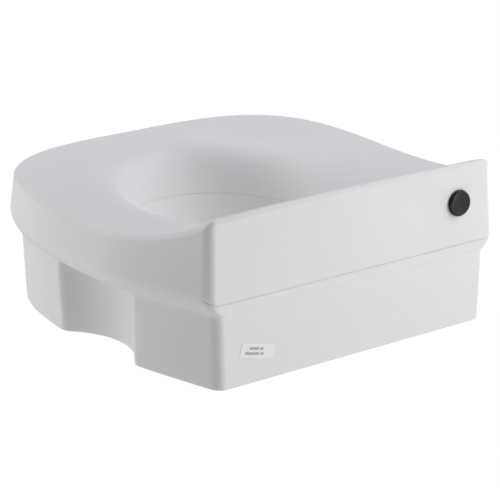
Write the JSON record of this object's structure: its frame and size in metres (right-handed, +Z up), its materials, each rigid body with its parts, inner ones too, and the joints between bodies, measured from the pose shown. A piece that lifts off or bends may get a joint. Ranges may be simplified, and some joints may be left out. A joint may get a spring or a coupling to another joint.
{
  "type": "raised toilet seat",
  "caption": "Raised toilet seat: hollow moulded ring with a raised rear panel, hand scoops in its skirt and screw clamps that fold away under it.",
  "frame": {"origin": "bottom centre of the whole object's box, on the surface that the pads stand on", "axes": "+Z up, +Y towards the raised rear panel, -Y towards the rounded front, +X to the seated person's left"},
  "size_m": [0.4036, 0.3928, 0.1645],
  "materials": {
    "white_plastic": "satin white moulded polyethylene",
    "label": "printed paper label under clear film",
    "black_rubber": "satin black moulded rubber",
    "pad_rubber": "matt dark grey rubber",
    "grey_plastic": "matt grey nylon",
    "knob_plastic": "textured black plastic",
    "nylon": "natural nylon",
    "coated_steel": "pale grey powder coat",
    "steel": "zinc plated",
    "brass": "turned brass"
  },
  "bodies": {
    "seat": {"seat_body": "white_plastic", "serial_label": "label", "vent_plug_seal": "black_rubber", "rim_pad_front_left": "pad_rubber", "rim_pad_front_right": "pad_rubber", "rim_pad_rear_left": "pad_rubber", "rim_pad_rear_right": "pad_rubber", "guide_screws": "steel", "screw_guide_left": "grey_plastic", "clamp_nut_left": "brass", "screw_guide_right": "grey_plastic", "clamp_nut_right": "brass"},
    "plug": {"vent_plug": "black_rubber"},
    "clamp_carriage_left": {"thrust_washer_left": "nylon"},
    "clamp_spindle_left": {"clamp_screw_left": "steel", "clamp_knob_left": "knob_plastic", "retaining_screw_left": "steel"},
    "clamp_hook_left": {"hook_arm_left": "coated_steel", "hook_pad_left": "black_rubber"},
    "clamp_carriage_right": {"thrust_washer_right": "nylon"},
    "clamp_spindle_right": {"clamp_screw_right": "steel", "clamp_knob_right": "knob_plastic", "retaining_screw_right": "steel"},
    "clamp_hook_right": {"hook_arm_right": "coated_steel", "hook_pad_right": "black_rubber"}
  },
  "joints": [
    {"name": "plug_pull", "type": "slide", "parent": "seat", "child": "plug", "axis": [0, 0.9985, 0.0555], "range_m": [0, 0.03]},
    {"name": "clamp_drop_left", "type": "slide", "parent": "seat", "child": "clamp_carriage_left", "axis": [0, 0, -1], "range_m": [0, 0.045]},
    {"name": "knob_turn_left", "type": "hinge", "parent": "clamp_carriage_left", "child": "clamp_spindle_left", "pos_m": [0.123, 0.01, 0.022], "axis": [0, 0, -1], "range_deg": [0, 2700]},
    {"name": "hook_swing_left", "type": "hinge", "parent": "clamp_carriage_left", "child": "clamp_hook_left", "pos_m": [0.123, 0.01, 0.009], "axis": [0, 0, 1], "range_deg": [0, 90]},
    {"name": "clamp_drop_right", "type": "slide", "parent": "seat", "child": "clamp_carriage_right", "axis": [0, 0, -1], "range_m": [0, 0.045]},
    {"name": "knob_turn_right", "type": "hinge", "parent": "clamp_carriage_right", "child": "clamp_spindle_right", "pos_m": [-0.123, 0.01, 0.022], "axis": [0, 0, -1], "range_deg": [0, 2700]},
    {"name": "hook_swing_right", "type": "hinge", "parent": "clamp_carriage_right", "child": "clamp_hook_right", "pos_m": [-0.123, 0.01, 0.009], "axis": [0, 0, -1], "range_deg": [0, 90]}
  ],
  "couplings": [
    {"joint": "knob_turn_left", "follows": "clamp_drop_left", "rad_per_m": 1047.2},
    {"joint": "knob_turn_right", "follows": "clamp_drop_right", "rad_per_m": 1047.2}
  ]
}
